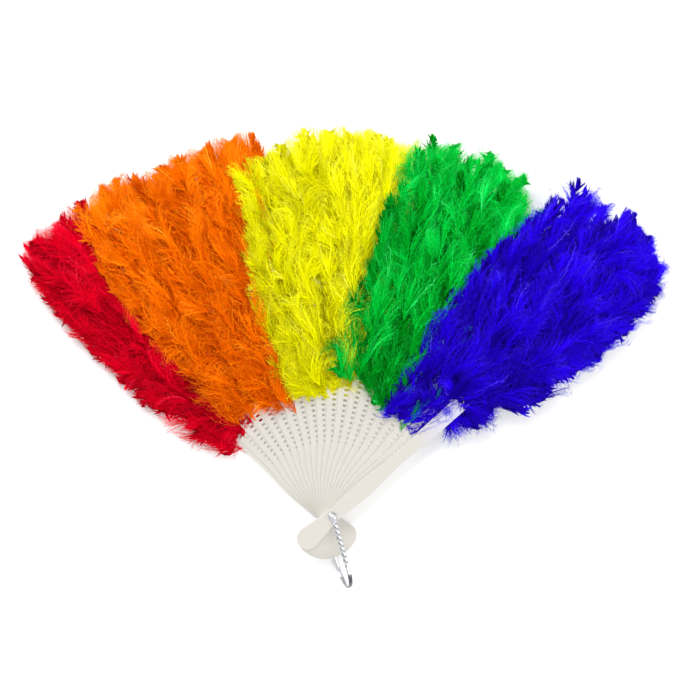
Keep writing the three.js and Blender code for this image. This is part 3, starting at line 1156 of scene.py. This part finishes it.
    def fringe(self, draw: np.random.Generator) -> list[Lie]:
        """Lays the short locks round the outline, from the left of the root over the tip to the right.

        Args:
            draw: the plume's random draws.

        Returns:
            The locks.
        """
        lies = []
        first = (self.hem + self.fringe_start) / self.length
        for number in range(self.fringe_tufts):
            way = (2 * number + 1) / self.fringe_tufts - 1
            if abs(way) > self.crown:
                share = first + (self.crown_from - first) * (1 - abs(way)) / (1 - self.crown)
                side = math.copysign(1.0, way)
                along = share * self.length
                aside = side * self.half_width(share)
                outward = side * math.radians(self.fringe_part - self.fringe_comb * share)
            else:
                turn = way / self.crown
                aside = turn * self.half_width(self.crown_width)
                along = self.length * (1 - self.crown_drop * turn ** 2)
                outward = turn * math.radians(self.crown_part)
            heading = outward + 0.2 * draw.standard_normal()
            back = (20 + 5 * draw.random()) * MM
            lies.append(Lie(
                along=along - back * math.cos(outward),
                aside=aside - back * math.sin(outward),
                layer=self.layer + self.loft * 0.5 * draw.random(),
                heading=heading,
                length=self.fringe_length,
                angle=math.radians(30),
                barb_length=(15 + 5 * draw.random()) * MM,
                tone=0.4 + 0.1 * draw.standard_normal() + 0.12 * along / self.length,
                bend=0.35 * draw.standard_normal(),
                roll=0.25 * draw.standard_normal(),
                climb=0.02 + 0.06 * draw.random(),
            ))
        return lies

    def build(self) -> bpy.types.Object:
        """Builds the piece.

        Returns:
            The piece.
        """
        stick, group = self.stick, self.stick.group
        fine = Down(seed=stick.number + 1)
        matt = Down(
            seed=stick.number + 101, barb_length=12 * MM, barb_steps=3, barb_width=3 * MM,
            barbules=2, barbule_width=0.9 * MM,
        )
        laid = [
            (matt, self.matt(matt.draw)),
            (fine, self.combed(fine.draw) + self.fringe(fine.draw) + self.ruff(fine.draw)),
        ]
        fitted = sum(len(lies) for _, lies in laid)
        if self.tucked:
            laid.append((fine, self.tuck(fine.draw)))
        bm = bmesh.new()
        points, maps = [], []
        for down, lies in laid:
            for lie in lies:
                bm.from_mesh(down.tuft)
                shape, tones = down.tuft_points(lie)
                points.append(lie.place(shape))
                maps.append(down.map_of(tones))
        mesh = mesh_of(bm, f"down_{stick.name}")
        x, y, z = np.concatenate([self.trim(np.concatenate(points[:fitted])), *points[fitted:]]).T
        across, outward = stick.plume_across, stick.plume_outward
        placed = stick.plume_root + x[:, None] * across + y[:, None] * outward
        placed[:, 0] = eased(placed[:, 0], CAD_BOX[1][0] + self.end_room, 3 * self.soft, below=True)
        mesh.vertices.foreach_set("co", np.column_stack([placed, z]).astype(np.float32).ravel())
        write_map(mesh, np.concatenate(maps))
        piece = new_piece(f"down_{stick.name}", mesh, finish_of(group.down))
        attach(piece, stick.name)
        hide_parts(f"plume_{stick.name}")
        seat = (0, 0, stick.top + 0.1 * MM)
        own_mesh(piece)
        return piece

    def trim(self, points: np.ndarray) -> np.ndarray:
        """Fits the down to its solid's reach and width, shingles it and eases it in between floor and top.

        Args:
            points: the free points in the plume's frame.

        Returns:
            The fitted points.
        """
        stick = self.stick
        x, y, z = points.T
        along, aside = y, x
        y = self.fit(y, self.length, self.length_body, self.length_ripple * self.ripple(aside))
        belly = np.where((x > 0) & stick.uppermost, self.belly, 1.0)
        notches = self.width_ripple * self.ripple(along + self.ripple_shift * np.sign(x))
        side = self.fit(np.abs(x), stick.half_width, self.width_body, notches)
        depth = self.notch_depth * (1.0 if stick.uppermost else self.notch_tucked if self.tucked else 0.0)
        notch = 1 - depth * np.exp(-((stick.root + y - self.notch_at) / self.notch_width) ** 2)
        x = np.sign(x) * side * np.where(x > 0, belly * notch, 1.0)
        if self.swept:
            share = np.clip(y / self.length, 0, 1)
            x = x + stick.group.sweep * share ** 2 - stick.group.lap * (1 - share) ** 2
            z = z + self.lap_lift * stick.group.lap * (1 - share) ** 2
        if stick.number < self.edge_plumes:
            x = self.end_left(x, y)
        covered = np.clip(x / stick.half_width, 0, 1)
        above = np.clip(z - self.layer, 0, None)
        pressed = 0 if stick.uppermost else self.press_tucked if self.tucked else self.press
        z = z - above * pressed * covered - self.shingle * x
        if not stick.uppermost:
            above = np.clip(z - self.layer, 0, None)
            z = z - (above - capped(above, self.headroom)) * np.exp(-(x / self.stick_room) ** 4)
        z = eased(eased(z, self.floor, self.soft), self.ceiling, self.soft, below=True)
        return np.column_stack([x, y, z])

    def end_left(self, x: np.ndarray, y: np.ndarray) -> np.ndarray:
        """Draws in the plume's left side to where the fan ends.

        Args:
            x: places across the plume.
            y: places along it.

        Returns:
            The places across, drawn in.
        """
        stick = self.stick
        left = np.array([-self.edge[1], self.edge[0]])
        middle = stick.plume_root @ left + y * (stick.plume_outward @ left)
        outer = np.clip((y / self.length - self.edge_from) / self.edge_run, 0, 1.2)
        room = self.edge_room * (1 - self.edge_draw * outer ** 1.5)
        limit = (room - middle) / -(stick.plume_across @ left)
        shares = np.linspace(0, 1, 21)
        full = np.interp(y / self.length, shares, [self.half_width(share) for share in shares])
        drawn = np.minimum(1.0, limit / (full + self.edge_margin))
        return np.where(x < 0, x * drawn, x)

    def ripple(self, places: np.ndarray) -> np.ndarray:
        """Gives the outline its notches between locks.

        Args:
            places: places along the outline, in metres.

        Returns:
            The notches, about -1 to 1.
        """
        phase = self.ripple_phase * self.stick.number
        coarse = np.sin(places / self.ripple_coarse + phase)
        fine = np.sin(places / self.ripple_fine + 1.7 * phase)
        return self.ripple_share * coarse + (1 - self.ripple_share) * fine

    def fit(self, values: np.ndarray, extent: float, body: float, notches: np.ndarray) -> np.ndarray:
        """Scales distances so that the body of the down meets an extent, and draws in what is past it.

        Args:
            values: the distances.
            extent: where the body ends.
            body: the percentile that counts as body.
            notches: how much further out it may stand at each point, as a share of the extent.

        Returns:
            The fitted distances.
        """
        fitted = values * extent / np.percentile(values, body)
        past = np.clip(fitted - extent * (1 + notches), 0, None)
        return fitted - past + capped(past, self.overshoot)


def sweep(rings: np.ndarray, name: str) -> bpy.types.Mesh:
    """Makes a closed tube through rings of points.

    Args:
        rings: the rings in order, each with as many points.
        name: the mesh's name.

    Returns:
        The mesh, whose vertices keep the order of the rings.
    """
    count, around = rings.shape[:2]
    bm = bmesh.new()
    verts = [bm.verts.new(point) for ring in rings for point in ring]
    for ring in range(count - 1):
        near, far = ring * around, (ring + 1) * around
        for this in range(around):
            following = (this + 1) % around
            corners = (near + this, near + following, far + following, far + this)
            bm.faces.new([verts[corner] for corner in corners])
    bmesh.ops.holes_fill(bm, edges=[edge for edge in bm.edges if edge.is_boundary], sides=0)
    bmesh.ops.recalc_face_normals(bm, faces=bm.faces[:])
    return mesh_of(bm, name)


def turned(profile: list[tuple[float, float]], steps: int, closed: bool = False) -> bmesh.types.BMesh:
    """Turns a profile round the pin's axis.

    Args:
        profile: radius and height of each corner.
        steps: how many faces go round.
        closed: joins the last corner to the first.

    Returns:
        The turned shape.
    """
    bm = bmesh.new()
    verts = [bm.verts.new((radius, 0, height)) for radius, height in profile]
    following = verts[1:] + (verts[:1] if closed else [])
    edges = [bm.edges.new(pair) for pair in zip(verts, following)]
    bmesh.ops.spin(
        bm, geom=verts + edges, cent=(0, 0, 0), axis=(0, 0, 1), angle=2 * math.pi,
        steps=steps, use_merge=True,
    )
    bmesh.ops.remove_doubles(bm, verts=bm.verts[:], dist=WELD)
    bmesh.ops.recalc_face_normals(bm, faces=bm.faces[:])
    return bm


@dataclass
class PivotPin:
    """The pin with its smooth domed head."""

    segments: int = 48
    shaft_radius: float = 1.5 * MM
    head_radius: float = 2.9 * MM
    head_rise: float = 2.5 * MM
    rim: float = 0.5 * MM
    dome_steps: int = 10

    def build(self) -> bpy.types.Object:
        """Builds the piece.

        Returns:
            The piece.
        """
        heights = points_of(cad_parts["pivot_pin"].data)[:, 2]
        low, seat = float(heights.min()), float(heights.max()) - self.head_rise
        profile = [(0, low), (self.shaft_radius, low), (self.shaft_radius, seat), (self.head_radius, seat)]
        for step in range(self.dome_steps + 1):
            turn = step / self.dome_steps * math.pi / 2
            rise = self.rim + (self.head_rise - self.rim) * math.sin(turn)
            profile.append((self.head_radius * math.cos(turn), seat + rise))
        mesh = mesh_of(turned(profile, self.segments), "domed_pin")
        piece = new_piece("domed_pin", mesh, finish_of(Chrome("chrome_plate")))
        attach(piece, "rear_guard")
        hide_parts("pivot_pin")
        return piece


@dataclass
class Bail:
    """The loop on the pin: a twisted leg in front, a bend with a painted dark reflection and a smooth leg
    behind.
    """

    around: int = 28
    leg_half_width: float = 2.05 * MM
    leg_half_depth: float = 0.95 * MM
    strap_half_width: float = 1.6 * MM
    strap_half_depth: float = 0.6 * MM
    flute_depth: float = 0.42 * MM
    flute_pitch: float = 4.2 * MM
    ring_pitch: float = 0.35 * MM
    leg_start: float = 0.4 * MM  # outside the eye's bore
    bend_rings: int = 36
    back_rings: int = 12
    ease_bend: float = 5 * MM  # on which the twist fades out before the bend
    ease_eye: float = 3 * MM
    groove_share: float = 0.6  # of the flutes' depth that is cut
    groove_painted_shade: float = 0.8  # painted shade: what the flutes' bottom has less in tone
    eye_tone: float = 0.9
    eye_steps: int = 40
    lift: float = 0.15 * MM  # of the twisted leg over the strap's middle, clear of the guard below
    eye_radius: float = 3.3 * MM
    eye_bore: float = 1.85 * MM
    eye_edge: float = 0.2 * MM

    def path(self, reach: float, low: float, high: float) -> tuple[np.ndarray, np.ndarray, np.ndarray]:
        """Runs from the front eye round the bend to the rear eye.

        Args:
            reach: from the pin to the outside of the bend.
            low: underside of the rear eye.
            high: top of the front eye.

        Returns:
            Places outwards, heights and the share of twist at each ring.
        """
        front, rear = high - self.strap_half_depth, low + self.strap_half_depth
        radius = (front - rear) / 2
        bend_at = reach - radius - self.strap_half_depth
        start = self.eye_bore + self.leg_start
        leg = np.linspace(start, bend_at, round((bend_at - self.eye_bore) / self.ring_pitch))
        turn = np.linspace(0, math.pi, self.bend_rings)[1:]
        back = np.linspace(bend_at, start, self.back_rings)[1:]
        outward = np.concatenate([leg, bend_at + radius * np.sin(turn), back])
        height = np.concatenate([
            np.full(len(leg), front), rear + radius + radius * np.cos(turn), np.full(len(back), rear),
        ])
        ease = np.clip((bend_at - leg) / self.ease_bend, 0, 1) * np.clip((leg - leg[0]) / self.ease_eye, 0, 1)
        twist = np.concatenate([ease, np.zeros(len(turn) + len(back))])
        return outward, height, twist

    def eye(self, height: float) -> bpy.types.Mesh:
        """Makes one flat eye round the pin.

        Args:
            height: of its middle.

        Returns:
            The mesh.
        """
        inner, outer, edge, half = self.eye_bore, self.eye_radius, self.eye_edge, self.strap_half_depth
        profile = [
            (inner, -half), (outer - edge, -half), (outer, -half + edge),
            (outer, half - edge), (outer - edge, half), (inner, half),
        ]
        profile = [(radius, height + rise) for radius, rise in profile]
        return mesh_of(turned(profile, self.eye_steps, closed=True), "eye", smooth=False)

    def build(self) -> bpy.types.Object:
        """Builds the piece.

        Returns:
            The piece.
        """
        solid = points_of(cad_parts["bail"].data)
        away = np.linalg.norm(solid[:, :2], axis=1)
        direction = solid[np.argsort(away)[-8:], :2].mean(0)
        direction /= np.linalg.norm(direction)
        low, high = float(solid[:, 2].min()), float(solid[:, 2].max())
        outward, height, twist = self.path(float((solid[:, :2] @ direction).max()), low, high)
        heading = np.arctan2(np.gradient(height), np.gradient(outward))
        around = np.linspace(0, 2 * math.pi, self.around, endpoint=False)
        half_width = self.strap_half_width + (self.leg_half_width - self.strap_half_width) * twist
        half_depth = self.strap_half_depth + (self.leg_half_depth - self.strap_half_depth) * twist
        wind = outward / (2 * self.flute_pitch) * 2 * math.pi
        groove = 0.5 - 0.5 * np.cos(2 * (around[None, :] - wind[:, None]))
        scale = 1 - self.flute_depth * twist[:, None] * groove / half_depth[:, None] * self.groove_share
        side = half_width[:, None] * np.cos(around)[None, :] * scale
        off = half_depth[:, None] * np.sin(around)[None, :] * scale
        ahead = outward[:, None] - off * np.sin(heading)[:, None]
        up = height[:, None] + self.lift * twist[:, None] + off * np.cos(heading)[:, None]
        x = direction[0] * ahead + direction[1] * side
        y = direction[1] * ahead - direction[0] * side
        tube = sweep(np.stack([x, y, up], -1), "bail_tube")
        # Painted shade in the flutes' grooves
        tone = np.where(twist[:, None] > 0, 1 - self.groove_painted_shade * groove * twist[:, None], 1.0)
        # Painted dark reflection on the half of the bend next to the front leg
        painted_bend_reflection = np.clip(-np.sin(heading) * 4, 0, 1) * np.clip(0.6 + 3 * np.cos(heading), 0, 1)
        tone = np.clip(tone - painted_bend_reflection[:, None], *MAP_ENDS)
        bm = bmesh.new()
        bm.from_mesh(tube)
        for middle in (low + self.strap_half_depth, high - self.strap_half_depth):
            bm.from_mesh(self.eye(middle))
        mesh = mesh_of(bm, "twisted_bail")
        way = np.broadcast_to(np.linspace(*MAP_ENDS, len(outward))[:, None], tone.shape)
        maps = np.full((len(mesh.vertices), 2), self.eye_tone)
        maps[:tone.size] = np.stack([tone.ravel(), way.ravel()], -1)
        write_map(mesh, maps)
        piece = new_piece("twisted_bail", mesh, finish_of(TwistedChrome("twisted_chrome")))
        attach(piece, "bail")
        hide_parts("bail")
        return piece


@dataclass
class Ribbon:
    """The lacing ribbon, in one link from each stick to the next, each riding the stick that it starts at."""

    thickness: float = 0.16 * MM
    climb: float = 2.2 * MM  # run along the arc in which it rises through a rib
    steps: int = 4
    keep: float = 0.02

    def build(self, sticks: list[Stick]) -> list[bpy.types.Object]:
        """Builds the links.

        Args:
            sticks: all sticks, from the rear guard on.

        Returns:
            The pieces.
        """
        solid = points_of(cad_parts["lacing_ribbon"].data)
        away = np.linalg.norm(solid[:, :2], axis=1)
        inner, outer = float(away.min()), float(away.max())
        return [self.link(a, b, inner, outer) for a, b in zip(sticks, sticks[1:])]

    def link(self, stick: Stick, following: Stick, inner: float, outer: float) -> bpy.types.Object:
        """Builds the link from one stick to the next.

        Args:
            stick: the stick that it starts at.
            following: the stick above it.
            inner: the ribbon's edge nearer the pin.
            outer: its other edge.

        Returns:
            The piece.
        """
        start, end = (math.atan2(s.outward[1], s.outward[0]) for s in (stick, following))
        gap = following.bottom - stick.top
        rest = stick.top + (gap - self.thickness) / 2
        half_climb = self.climb / (inner + outer)
        angles = [start - (start - end - half_climb) * step / self.steps for step in range(self.steps + 1)]
        heights = [rest] * (self.steps + 1)
        if not following.uppermost:
            angles.append(end - half_climb)
            heights.append(following.top + (gap - self.thickness) / 2)
        bm = bmesh.new()
        rows = [
            [bm.verts.new((r * math.cos(a), r * math.sin(a), h)) for r in (inner, outer)]
            for a, h in zip(angles, heights)
        ]
        for near, far in zip(rows, rows[1:]):
            bm.faces.new((near[0], far[0], far[1], near[1]))
        bmesh.ops.solidify(bm, geom=bm.faces[:], thickness=-self.thickness)
        bmesh.ops.recalc_face_normals(bm, faces=bm.faces[:])
        name = f"ribbon_link_{stick.number + 1:02d}"
        piece = new_piece(name, mesh_of(bm, name, smooth=False), finish_of(Satin("satin_ribbon")))
        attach(piece, stick.name)
        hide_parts("lacing_ribbon")
        anchor = ((inner + outer) / 2 * stick.outward[0], (inner + outer) / 2 * stick.outward[1], rest)
        along = (stick.outward[1], -stick.outward[0], 0)
        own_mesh(piece)
        return piece


def write_map(mesh: bpy.types.Mesh, maps: np.ndarray) -> None:
    """Writes a piece's map.

    Args:
        mesh: the piece's mesh.
        maps: tone and way along for each vertex.
    """
    loops = np.empty(len(mesh.loops), np.int32)
    mesh.loops.foreach_get("vertex_index", loops)
    layer = mesh.uv_layers.new(name=PIECE_MAP)
    layer.data.foreach_set("uv", maps[loops].astype(np.float32).ravel())


def finish_of(finish: MilkyPlastic | Chrome | DyedDown | Satin) -> bpy.types.Material:
    """Builds a finish once and hands it out again.

    Args:
        finish: the finish.

    Returns:
        Its material.
    """
    if finish.name not in MADE:
        MADE[finish.name] = finish.build()
    return MADE[finish.name]


@dataclass(frozen=True)
class Lamp:
    """One soft square light."""

    name: str
    place: tuple[float, float, float]
    power: float  # watts
    side: float

    def hang(self, aim: Vector) -> None:
        """Puts the light into the scene.

        Args:
            aim: the place that it shines on.
        """
        light = bpy.data.lights.new(self.name, "AREA")
        light.energy, light.size = self.power, self.side
        holder = bpy.data.objects.new(self.name, light)
        holder.location = self.place
        holder.rotation_euler = (aim - Vector(self.place)).to_track_quat("-Z", "Y").to_euler()
        bpy.context.scene.collection.objects.link(holder)


@dataclass
class Studio:
    """Floor, lights and camera."""

    lens: float = 85.0
    sensor: float = 36.0
    lean: float = 16.5  # degrees of the camera off the fan's normal, towards -X
    roll: float = 1.25  # degrees
    turn: float = 2.8  # degrees round the pin
    pin_pixel: tuple[float, float] = (333.5, 517.0)  # where the photograph has the pin's head
    pin_height: float = 33 * MM
    pixel: float = 0.72 * MM  # what one pixel of it is across at the fan
    aim: tuple[float, float, float] = (0, 0.12, 0)
    lamps: tuple[Lamp, ...] = (
        Lamp("key", (-0.7, 0.9, 1.5), 24.0, 0.8),
        Lamp("fill", (0.9, -0.5, 1.4), 8.0, 1.2),
    )
    sky: float = 0.95
    floor_size: float = 4.0
    paper: Colour = srgb(250, 250, 250)
    cloud: Colour = srgb(244, 244, 244)
    cloud_depth: float = 0.1
    cloud_scale: float = 3.0

    def build(self) -> None:
        """Sets up the stage."""
        self.floor()
        self.lights()
        self.camera()

    def floor(self) -> None:
        """Lays a plain pale floor."""
        bm = bmesh.new()
        bmesh.ops.create_grid(bm, x_segments=1, y_segments=1, size=self.floor_size)
        nodes = Nodes("pale_floor")
        cloud = nodes.noise(nodes.add("ShaderNodeTexCoord").outputs["Object"], self.cloud_scale)
        shade = nodes.mix(cloud * self.cloud_depth, self.paper, self.cloud)
        nodes.fill(nodes.shader, {"Base Color": shade, "Roughness": 0.9})
        floor = new_piece("floor", mesh_of(bm, "floor", smooth=False), nodes.material)

    def lights(self) -> None:
        """Hangs soft lights and an even sky."""
        world = bpy.data.worlds.new("soft_sky")
        bpy.context.scene.world = world
        world.use_nodes = True
        background = world.node_tree.nodes["Background"]
        background.inputs["Color"].default_value = (1, 1, 1, 1)
        background.inputs["Strength"].default_value = self.sky
        for lamp in self.lamps:
            lamp.hang(Vector(self.aim))
        bpy.context.scene.view_settings.view_transform = "Standard"

    def camera(self) -> None:
        """Places the camera so that the pin lies where the photograph has it."""
        lean, roll = math.radians(self.lean), math.radians(self.roll)
        turn = Matrix.Rotation(math.radians(self.turn), 3, "Z")
        back = turn @ Vector((-math.sin(lean), 0, math.cos(lean)))
        right = turn @ Vector((math.cos(lean), 0, math.sin(lean)))
        up = turn @ Vector((0, 1, 0))
        turned_right = right * math.cos(roll) - up * math.sin(roll)
        turned_up = right * math.sin(roll) + up * math.cos(roll)
        distance = PHOTO_SIDE * self.pixel * self.lens / self.sensor
        middle = PHOTO_SIDE / 2
        pin = Vector((0, 0, self.pin_height))
        aside, below = middle - self.pin_pixel[0], self.pin_pixel[1] - middle
        target = pin + turned_right * aside * self.pixel + turned_up * below * self.pixel
        camera = bpy.data.cameras.new("camera")
        camera.lens, camera.sensor_width = self.lens, self.sensor
        holder = bpy.data.objects.new("camera", camera)
        facing = Matrix((turned_right, turned_up, back)).transposed().to_4x4()
        holder.matrix_world = Matrix.Translation(target + back * distance) @ facing
        bpy.context.scene.collection.objects.link(holder)
        bpy.context.scene.camera = holder


def dress(node: str, finish: bpy.types.Material) -> None:
    """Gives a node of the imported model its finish.

    Args:
        node: the node's name.
        finish: its material.
    """
    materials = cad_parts[node].data.materials
    materials.clear()
    materials.append(finish)


def main() -> None:
    """Builds every piece in order and reports it."""
    Studio().build()
    names = ["rear_guard", *sorted(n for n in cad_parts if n.startswith("rib_")), "front_guard"]
    sticks = []
    for number, name in enumerate(names):
        group = next(g for g in GROUPS if number <= g.last_stick)
        sticks.append(Stick(name, number, group, uppermost=name == names[-1]))
    for stick in sticks:
        group = stick.group
        first = stick.number > 0 and sticks[stick.number - 1].group is not group
        piece = Plume(stick, sticks[0].outward, swept=first, tucked=stick is sticks[-2]).build()
        LOG.info("%s: %d faces", piece.name, len(piece.data.polygons))
        plastic = MilkyPlastic(f"milky_plastic_{group.dye.value}", group.painted_bounce, group.painted_bounce_depth)
        dress(stick.name, finish_of(plastic))
    for piece in (PivotPin().build(), Bail().build(), *Ribbon().build(sticks)):
        LOG.info("%s: %d faces", piece.name, len(piece.data.polygons))
    dress("pin_cap", finish_of(Chrome("chrome_plate")))


if __name__ == "__main__":
    logging.basicConfig(level=logging.INFO, format="%(message)s")
    main()
